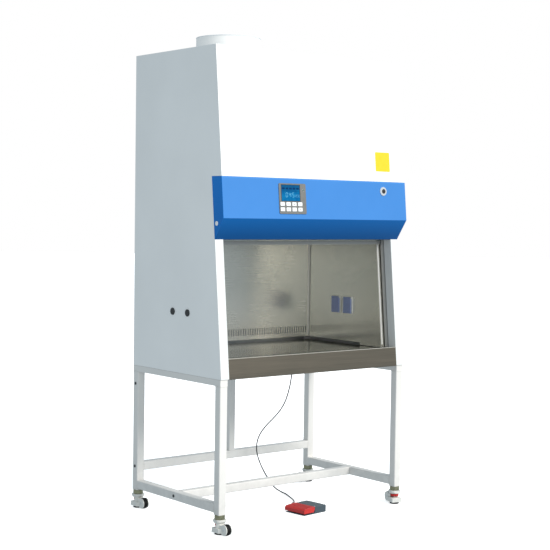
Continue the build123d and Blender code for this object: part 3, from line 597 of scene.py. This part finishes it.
# ------------------------------------------------------------------ casters: pad, screw, dial and wheel
for c, X, Y, turn in (("front_left", -0.530, -0.3025, 0), ("front_right", 0.530, -0.3025, 165), ("rear_left", -0.530, 0.3495, 0),
                      ("rear_right", 0.530, 0.3495, -90)):
    axle = Vector((math.cos(math.radians(turn)), math.sin(math.radians(turn)), 0))
    hub = Vector((X + axle.y * 0.048, Y - axle.x * 0.048, 0.0265))
    body = f"caster_{c}_leveller"
    bm = bmesh.new()
    lathe(bm, (X, Y, 0), (0, 0, 1), [(0, 0.0002), (0.0150, 0.0002), (0.0156, 0.0010), (0.0162, 0.0002), (0.0214, 0.0002), (0.0225, 0.0012),
                                     (0.0225, 0.0034), (0.0216, 0.0044), (0.0219, 0.0050), (0.0208, 0.0066), (0.0197, 0.0079),
                                     (0.0080, 0.0080), (0, 0.0080)], 56)
    piece(f"caster_{c}_pad", bm, RUBBER, body, hides=(body,))
    bm = bmesh.new()
    thread = [(0, 0.0075), (0.0060, 0.0075)]
    h = 0.0085
    while h < 0.0362:
        thread += [(0.0060, h), (0.0053, h + 0.0007)]
        h += 0.0014
    thread += [(0.0060, 0.0372), (0.0060, 0.0503), (0.0052, 0.0508), (0, 0.0508)]
    lathe(bm, (X, Y, 0), (0, 0, 1), thread, 24)
    piece(f"caster_{c}_screw", bm, SCREW, body)
    bm = bmesh.new()
    outline = []
    for k in range(18):
        t0 = 2 * math.pi * k / 18
        for dt, r in ((-0.055, 0.0196), (0.0, 0.0190), (0.055, 0.0196), (0.095, 0.0206), (0.174, 0.0206), (0.254, 0.0206)):
            outline.append((t0 + dt, r))
    sections = []
    for hh, k in ((0.0372, 0.0007), (0.0379, 0.0), (0.0487, 0.0), (0.0494, 0.0007)):
        sections.append([Vector((X + (r - k) * math.cos(t), Y + (r - k) * math.sin(t), hh)) for t, r in outline])
    loft(bm, sections)
    lathe(bm, (X, Y, 0), (0, 0, 1), [(0, 0.0485), (0.0098, 0.0485), (0.0098, 0.0502), (0.0090, 0.0507), (0, 0.0507)], 32)
    piece(f"caster_{c}_dial", bm, RED, body)
    bm = bmesh.new()
    rim = [(0.0042, -0.0100), (0.0075, -0.0100), (0.0080, -0.0096), (0.0085, -0.0082), (0.0190, -0.0082), (0.0196, -0.0096), (0.0205, -0.0100),
           (0.0224, -0.0098), (0.0241, -0.0086), (0.0249, -0.0066), (0.0250, -0.0034), (0.0244, -0.0030), (0.0244, -0.0022), (0.0250, -0.0018)]
    rim = rim + [(r, -h) for r, h in reversed(rim)] + [rim[0]]
    lathe(bm, hub, axle, rim, 72)
    piece(f"caster_{c}_tyre", bm, RUBBER, f"caster_{c}_roller", hides=(f"caster_{c}_wheel",))
    bm = bmesh.new()
    for side in (-1, 1):
        lathe(bm, hub + axle * side * 0.0152, axle * side, [(0, 0.0016), (0.0030, 0.0016), (0.0044, 0.0011), (0.0050, 0.0003), (0.0050, -0.0006), (0, -0.0006)], 28)
    piece(f"caster_{c}_axle_caps", bm, SCREW, f"caster_{c}_swivel")

# ------------------------------------------------------------------ control panel
UP = Vector((0, SA, CA))
OUT = Vector((0, -CA, SA))
RIGHT = Vector((1, 0, 0))


def on_face(x, z, u=0.0, v=0.0, w=0.0):
    return Vector((x + u, yf(z), z)) + UP * v + OUT * w


PX, PZ = -0.160, 1.4705


def segment_digit(bm, u, v, w, h, t, lit):
    """Seven-segment digit from thin plates; lit is a set of segment letters."""
    places = {"a": (0, h / 2, 1), "d": (0, -h / 2, 1), "g": (0, 0, 1), "f": (-w / 2, h / 4, 0), "b": (w / 2, h / 4, 0),
              "e": (-w / 2, -h / 4, 0), "c": (w / 2, -h / 4, 0)}
    for k in lit:
        du, dv, flat = places[k]
        a, b = ((w - t * 1.2) / 2, t / 2) if flat else (t / 2, (h / 2 - t * 1.2) / 2)
        tip = t / 2
        if flat:
            pts = [(a, 0), (a - tip, b), (-a + tip, b), (-a, 0), (-a + tip, -b), (a - tip, -b)]
        else:
            pts = [(a, b - tip), (0, b), (-a, b - tip), (-a, -b + tip), (0, -b), (a, -b + tip)]
        plate(bm, on_face(PX, PZ, u + du, v + dv, 0.00248), RIGHT, UP, OUT, pts, 0.00012, 0.00003)


DIGITS = {"0": "abcdef", "1": "bc", "2": "abged", "3": "abgcd", "4": "fgbc", "5": "afgcd", "8": "abcdefg"}
bm = bmesh.new()
for k, ch in enumerate("045"):
    segment_digit(bm, -0.0335 + 0.0185 * k, 0.0170, 0.0100, 0.0190, 0.0022, DIGITS[ch])
for k, ch in enumerate("1230"):
    segment_digit(bm, 0.0140 + 0.0085 * k, 0.0130, 0.0048, 0.0100, 0.0011, DIGITS[ch])
piece("display_digits", bm, INK, "cabinet")
bm = bmesh.new()
for k in range(5):
    plate(bm, on_face(PX, PZ, -0.0520 + 0.0205 * k, 0.0455, 0.00248), RIGHT, UP, OUT, rounded(0.0150, 0.0085, 0.001), 0.0001, 0.00003)
plate(bm, on_face(PX, PZ, -0.0110, 0.0345, 0.00248), RIGHT, UP, OUT, rounded(0.098, 0.0012, 0.0004), 0.0001, 0.00003)
piece("display_blocks", bm, INK_DARK, "cabinet")
bm = bmesh.new()
for u0, v0, w0, h0 in ((-0.011, 0.0623, 0.1090, 0.0016), (-0.011, -0.0113, 0.1090, 0.0016), (-0.0652, 0.0255, 0.0016, 0.0752), (0.0432, 0.0255, 0.0016, 0.0752)):
    plate(bm, on_face(PX, PZ, u0, v0, 0.0029), RIGHT, UP, OUT, rounded(w0, h0, 0.0005), 0.0009, 0.0003)
piece("display_frame", bm, BLACK, "cabinet")
bm = bmesh.new()
lathe(bm, on_face(PX, PZ, 0.062, 0.040, 0.0046), OUT, [(0.0034, 0), (0.0034, 0.0006), (0.0030, 0.0014), (0.0020, 0.0022), (0, 0.0025)], 28)
piece("status_lens", bm, GREEN_LENS, "cabinet")
bm = bmesh.new()
lathe(bm, on_face(PX, PZ, 0.062, 0.040, 0.0030), OUT, [(0.0036, 0), (0.0054, 0), (0.0054, 0.0008), (0.0048, 0.0013), (0.0038, 0.0013), (0.0036, 0)], 32)
piece("status_lens_ring", bm, SCREW, "cabinet")
for n, (row, column) in enumerate(((r, c) for r in (-0.0245, -0.0485) for c in (-0.061, -0.027, 0.007, 0.041)), 1):
    bm = bmesh.new()
    top = 0.00480
    # raised rim round a shallow dish
    sections = []
    for k, w in ((0.0006, -0.0002), (0.0007, 0.0), (0.0010, 0.00018), (0.0018, 0.00020), (0.0030, 0.00002)):
        sections.append([on_face(PX, PZ, column + x, row + y, top + w) for x, y in rounded(0.0250 - 2 * k, 0.0175 - 2 * k, 0.0034 - k * 0.6, 6)])
    loft(bm, sections)
    piece(f"key_{n}_rim", bm, KEY, f"key_{n}", angle=50)
GLYPH = {1: "bar", 2: "ring", 3: "up", 4: "bar2", 5: "ring", 6: "down", 7: "bar", 8: "dot"}
for n, (row, column) in enumerate(((r, c) for r in (-0.0245, -0.0485) for c in (-0.061, -0.027, 0.007, 0.041)), 1):
    mark = bmesh.new()
    o = on_face(PX, PZ, column, row, 0.00481)
    kind = GLYPH[n]
    if kind == "up":
        plate(mark, o, RIGHT, UP, OUT, [(-0.0035, -0.002), (0.0035, -0.002), (0, 0.0035)], 0.00012, 0.00003)
    elif kind == "down":
        plate(mark, o, RIGHT, UP, OUT, [(-0.0035, 0.002), (0, -0.0035), (0.0035, 0.002)], 0.00012, 0.00003)
    elif kind == "ring":
        lathe(mark, o, OUT, [(0.0024, 0), (0.0032, 0), (0.0032, 0.00012), (0.0024, 0.00012), (0.0024, 0)], 28)
    elif kind == "dot":
        lathe(mark, o, OUT, [(0, 0), (0.0022, 0), (0.0022, 0.00012), (0, 0.00012)], 24)
    elif kind == "bar2":
        plate(mark, o + UP * 0.0015, RIGHT, UP, OUT, rounded(0.0070, 0.0010, 0.0003), 0.00012, 0.00003)
        plate(mark, o - UP * 0.0015, RIGHT, UP, OUT, rounded(0.0070, 0.0010, 0.0003), 0.00012, 0.00003)
    else:
        plate(mark, o, RIGHT, UP, OUT, rounded(0.0070, 0.0012, 0.0004), 0.00012, 0.00003)
    piece(f"key_{n}_mark", mark, DARK, f"key_{n}")
# painted shadow: a black strip for the dark gap and lower lip of the fascia, and the white plugs in its end caps
bm = bmesh.new()
bar(bm, (-0.5475, -0.2665, 1.2862), (0.5475, -0.2665, 1.2862), 0.0022, 0.0016, 0.0005, 0.0002)
piece("fascia_shadow_gap_strip", bm, BLACK, "cabinet")
bm = bmesh.new()
for sx in (-1, 1):
    lathe(bm, (sx * 0.5500, -0.281, 1.3566), (sx, 0, 0), [(0, 0.0021), (0.0070, 0.0021), (0.0092, 0.0014), (0.0100, 0.0004), (0.0100, -0.0006), (0, -0.0006)], 36)
piece("fascia_end_plugs", bm, SEAL, "cabinet")
# ------------------------------------------------------------------ chamber: seals, lamp caps, socket details
bm = bmesh.new()
for sx in (-1, 1):
    a = (sx * 0.4778, yp(0.776) + 0.0657, 0.776)
    b = (sx * 0.4778, yp(1.284) + 0.0657, 1.284)
    bar(bm, a, b, 0.0090, 0.0018, 0.0006, 0.0003, up=(0, 1, 0))
piece("sash_seal_strips", bm, SEAL_GREY, "cabinet")
bm = bmesh.new()
for sx in (-1, 1):
    corner = [(sx * 0.46985, 0.29235)]
    for k in range(9):
        t = math.radians(90 * k / 8)
        corner.append((sx * (0.4600 + 0.0097 * math.cos(t)), 0.2825 + 0.0097 * math.sin(t)))
    loft(bm, [[Vector((x, y, z)) for x, y in corner] for z in (0.7765, 1.4185)])
piece("chamber_corner_coves", bm, COVE, "cabinet")
bm = bmesh.new()
for sx in (-1, 1):
    lathe(bm, (sx * 0.4405, 0.257, 1.384), (-sx, 0, 0), [(0, 0), (0.0136, 0), (0.0136, 0.020), (0.0131, 0.0208), (0, 0.0208)], 40)
piece("uv_lamp_end_caps", bm, ALU, "cabinet")
bm = bmesh.new()
for sy in (0.0745, -0.013):
    for dy in (-0.024, 0.024):
        for z in (0.917,):
            screw_head(bm, (0.4640, sy + dy * 1.18, z + 0.001), (-1, 0, 0), 0.0026, 0.0014)
piece("socket_screws", bm, SCREW, "cabinet")
bm = bmesh.new()
for x, hz in ((0.388, 0.0015), (0.412, 0.0015), (0.400, 0.0050)):
    bar(bm, (x, 0.3462, 0.760 - (0.002 if x != 0.400 else -0.0025)), (x, 0.3625, 0.760 - (0.002 if x != 0.400 else -0.0025)), 0.0020, 0.0055, 0.0006, 0.0005)
piece("inlet_pins", bm, BRASS, "cabinet")

# ------------------------------------------------------------------ casing: fasteners, collar bead, plain film patches
bm = bmesh.new()
xs = [-0.535 + 0.107 * i for i in range(11)]
zs = [0.694 + 0.1425 * i for i in range(11)]
for x in xs:
    for z in (0.694, 2.119):
        screw_head(bm, (x, 0.3695, z), (0, 1, 0), 0.0042, 0.0019)
for z in zs[1:-1]:
    for x in (-0.535, 0.535):
        screw_head(bm, (x, 0.3695, z), (0, 1, 0), 0.0042, 0.0019)
piece("rear_panel_screws", bm, SCREW, "cabinet")
bm = bmesh.new()
for k in range(8):
    t = 2 * math.pi * (k + 0.5) / 8
    screw_head(bm, (-0.240 + 0.1585 * math.cos(t), 0.0645 + 0.1585 * math.sin(t), 2.134), (0, 0, 1), 0.0036, 0.0017)
for x in [-0.52 + 0.13 * i for i in range(9)]:
    screw_head(bm, (x, 0.352, 2.132), (0, 0, 1), 0.0040, 0.0018)
for x in (-0.532, 0.532):
    for y in (-0.20, -0.02, 0.16):
        screw_head(bm, (x, y, 2.132), (0, 0, 1), 0.0040, 0.0018)
piece("roof_screws", bm, SCREW, "cabinet")
# The collar's rolled beads carry painted shade: their grey paint stands for the shadowed rim line.
bm = bmesh.new()
lathe(bm, (-0.240, 0.0645, 2.132), (0, 0, 1), [(0.1490, 0.0775), (0.1502, 0.0768), (0.1512, 0.0778), (0.1512, 0.0792), (0.1502, 0.0802),
                                               (0.1488, 0.0802), (0.1482, 0.0792), (0.1482, 0.0778), (0.1490, 0.0775)], 96)
lathe(bm, (-0.240, 0.0645, 2.132), (0, 0, 1), [(0.1500, 0.0020), (0.1512, 0.0021), (0.1506, 0.0030), (0.1500, 0.0034), (0.1494, 0.0030), (0.1494, 0.0020), (0.1500, 0.0020)], 96)
piece("collar_rolled_edge", bm, ROLL_PAINTED_SHADE, "cabinet")
bm = bmesh.new()
plate(bm, (0.4083, yf(1.656) - 0.00002, 1.656), RIGHT, UP, OUT, rounded(0.0924, 0.0920, 0.004, 5), 0.0003, 0.0001)
piece("film_patch", bm, YELLOW, "cabinet")

# ------------------------------------------------------------------ foot switch and its cord ends
sw = Matrix.Translation((0.056, -0.1925, 0)) @ Matrix.Rotation(math.radians(6), 4, "Z")


def on_switch(x, y, z):
    return sw @ Vector((x, y, z))


bm = bmesh.new()
dx = (sw.to_3x3() @ Vector((1, 0, 0)))
dy = (sw.to_3x3() @ Vector((0, 1, 0)))
for k in range(9):
    t = k / 8
    x = -0.0620 + 0.0500 * t
    z = 0.0310 + (0.0345 - 0.0310) * ((x + 0.066) / 0.0615)
    bar(bm, on_switch(x, -0.0560, z), on_switch(x, 0.0560, z), 0.0022, 0.0016, 0.0006, 0.0004)
piece("foot_pedal_ribs", bm, RED, "foot_pedal")
bm = bmesh.new()
for x, y in ((0.006, -0.054), (0.066, -0.054), (0.006, 0.054), (0.066, 0.054)):
    screw_head(bm, on_switch(x, y, 0.0340), (0, 0, 1), 0.0032, 0.0012)
piece("foot_switch_screws", bm, SCREW, "cabinet")
bm = bmesh.new()
ribs = [(0.0034, 0.0)]
for k in range(6):
    h = 0.0012 + 0.0034 * k
    r = 0.0068 - 0.00042 * k
    ribs += [(r, h), (r, h + 0.0018), (r - 0.0011, h + 0.0021), (r - 0.0011, h + 0.0031)]
ribs += [(0.0036, 0.0220), (0.0033, 0.0222), (0.0033, 0.0)]
lathe(bm, (0.338, 0.2595, 0.6625), (0, 0, -1), ribs, 28)
end, lead_p = Vector((0.07234, -0.11839, 0.015)), Vector((0.06858, -0.08258, 0.015))
lathe(bm, end - (lead_p - end).normalized() * 0.0006, lead_p - end, ribs, 28)
piece("cord_strain_reliefs", bm, RUBBER, "cabinet")
bm = bmesh.new()
hexes = []
for z, k in ((0.6688, 0.0009), (0.6697, 0.0), (0.6781, 0.0), (0.6789, 0.0009)):
    hexes.append([Vector((0.338 + (0.0112 - k) * math.cos(math.radians(60 * i)), 0.2595 + (0.0112 - k) * math.sin(math.radians(60 * i)), z)) for i in range(6)])
loft(bm, hexes)
lathe(bm, (0.338, 0.2595, 0.6690), (0, 0, -1), [(0.0090, -0.0006), (0.0090, 0.0004), (0.0080, 0.0012), (0.0078, 0.0058), (0.0070, 0.0069), (0.0034, 0.0070), (0.0034, -0.0006), (0.0090, -0.0006)], 32)
piece("gland_nut", bm, BLACK, "cabinet", angle=20, hides=("cord_gland",))

# ------------------------------------------------------------------ floor and light
bm = bmesh.new()
bmesh.ops.create_circle(bm, cap_ends=True, radius=40, segments=96)
floor_mesh = bpy.data.meshes.new("floor")
bm.to_mesh(floor_mesh)
bm.free()
floor = bpy.data.objects.new("floor", floor_mesh)
scene.collection.objects.link(floor)
floor.location.z = -0.0005
fm = Mat("floor_pale", (0.93, 0.93, 0.93), 0.7, Emission_Strength=0.60)
fm.b.inputs["Emission Color"].default_value = (1, 1, 1, 1)
fm.set("Base Color", fm.mix(fm.remap(fm.noise(0.8, 3), 0.3, 0.7, 0, 1), (0.925, 0.925, 0.925), (0.935, 0.935, 0.935)))
floor_mesh.materials.append(fm.m)
floor.visible_diffuse = False
floor.visible_glossy = False

world = bpy.data.worlds.new("studio")
scene.world = world
world.use_nodes = True
wn = world.node_tree
bg = wn.nodes["Background"]
bg.inputs["Color"].default_value = (0.80, 0.92, 1.0, 1)
bg.inputs["Strength"].default_value = 0.62
lp = wn.nodes.new("ShaderNodeLightPath")
bg2 = wn.nodes.new("ShaderNodeBackground")
bg2.inputs["Color"].default_value = (1, 1, 1, 1)
bg2.inputs["Strength"].default_value = 1.0
mx = wn.nodes.new("ShaderNodeMixShader")
wn.links.new(lp.outputs["Is Camera Ray"], mx.inputs[0])
wn.links.new(bg.outputs[0], mx.inputs[1])
wn.links.new(bg2.outputs[0], mx.inputs[2])
wn.links.new(mx.outputs[0], wn.nodes["World Output"].inputs[0])


def area(name, where, target, size, energy, colour=(1, 1, 1)):
    d = bpy.data.lights.new(name, "AREA")
    d.shape = "RECTANGLE"
    d.size, d.size_y = size
    d.energy = energy
    d.color = colour
    o = bpy.data.objects.new(name, d)
    scene.collection.objects.link(o)
    o.location = where
    o.rotation_mode = "QUATERNION"
    o.rotation_quaternion = (Vector(target) - Vector(where)).to_track_quat("-Z", "Y")
    return o


sun_data = bpy.data.lights.new("key", "SUN")
sun_data.energy = 3.2
sun_data.angle = math.radians(28)
sun_data.color = (1.0, 0.975, 0.94)
sun = bpy.data.objects.new("key", sun_data)
scene.collection.objects.link(sun)
sun.rotation_mode = "QUATERNION"
sun.rotation_quaternion = Vector((-0.22, 0.78, -0.58)).to_track_quat("-Z", "Y")

fill = area("fill", (-1.6, -4.4, 1.25), (0.1, 0.2, 1.05), (1.6, 1.2), 26, (1.0, 0.95, 0.86))

scene.view_settings.view_transform = "Standard"
scene.view_settings.look = "None"
scene.view_settings.exposure = 0.0
scene.view_settings.gamma = 1.0

# ------------------------------------------------------------------ the end
bpy.context.view_layer.update()
